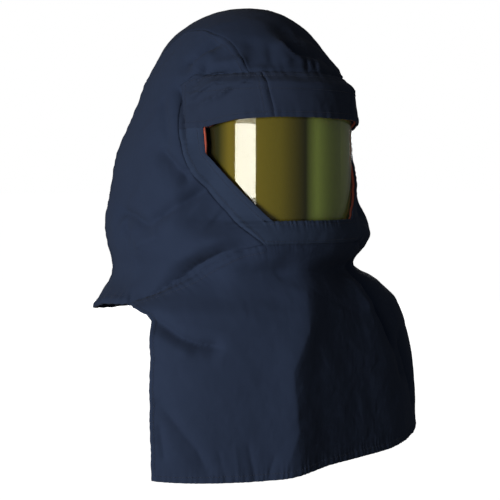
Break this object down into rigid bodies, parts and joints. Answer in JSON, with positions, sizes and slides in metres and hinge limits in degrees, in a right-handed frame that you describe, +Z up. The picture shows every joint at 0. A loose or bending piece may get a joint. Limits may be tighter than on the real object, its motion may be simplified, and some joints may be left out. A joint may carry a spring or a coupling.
{
  "type": "arc flash hood",
  "caption": "Cloth arc flash hood held as worn, with a gusseted crown, a brow band, a bent amber face shield in a bordered window, and a bib over the chest.",
  "frame": {"origin": "top of the hollow, inside the crown, where the crown rests on the head", "axes": "+Z up, -Y the way the wearer faces, +X the wearer's left"},
  "size_m": [0.3999, 0.3895, 0.567],
  "materials": {
    "navy_cloth": "matt twill",
    "orange_cord": "matt cord",
    "amber_shield": "clear amber-green polycarbonate"
  },
  "bodies": {
    "root": {"centre_gusset": "navy_cloth", "side_panel_right": "navy_cloth", "side_panel_left": "navy_cloth", "chest_bib": "navy_cloth", "brow_band_front": "navy_cloth", "brow_band_right": "navy_cloth", "brow_band_left": "navy_cloth", "window_border": "navy_cloth", "window_piping": "orange_cord", "face_shield": "amber_shield"}
  },
  "joints": []
}
